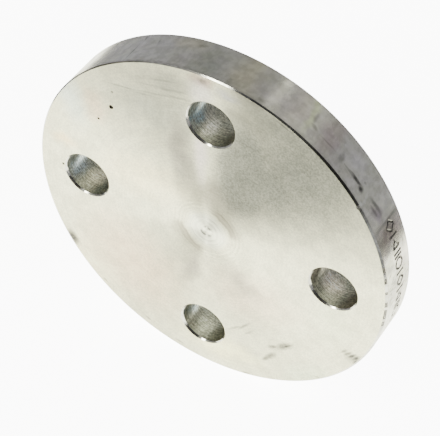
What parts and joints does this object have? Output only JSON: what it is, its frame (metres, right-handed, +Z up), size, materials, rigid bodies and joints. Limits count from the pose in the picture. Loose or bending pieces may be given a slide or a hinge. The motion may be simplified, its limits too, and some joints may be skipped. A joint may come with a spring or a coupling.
{
  "type": "blind flange",
  "caption": "Round blank flange plate with four bolt holes and a raised sealing face, used to close a pipe end.",
  "frame": {"origin": "centre of the raised sealing face", "axes": "+Y along the disc's axis, out of the sealing face; the flat back face looks along -Y; +Z up; the bolt holes lie on the X and Z axes"},
  "size_m": [0.14, 0.019, 0.14],
  "materials": {
    "stainless_steel": "turned faces with fine concentric marks, light stains and a duller rim"
  },
  "bodies": {
    "root": {"flange_disc": "stainless_steel"}
  },
  "joints": []
}
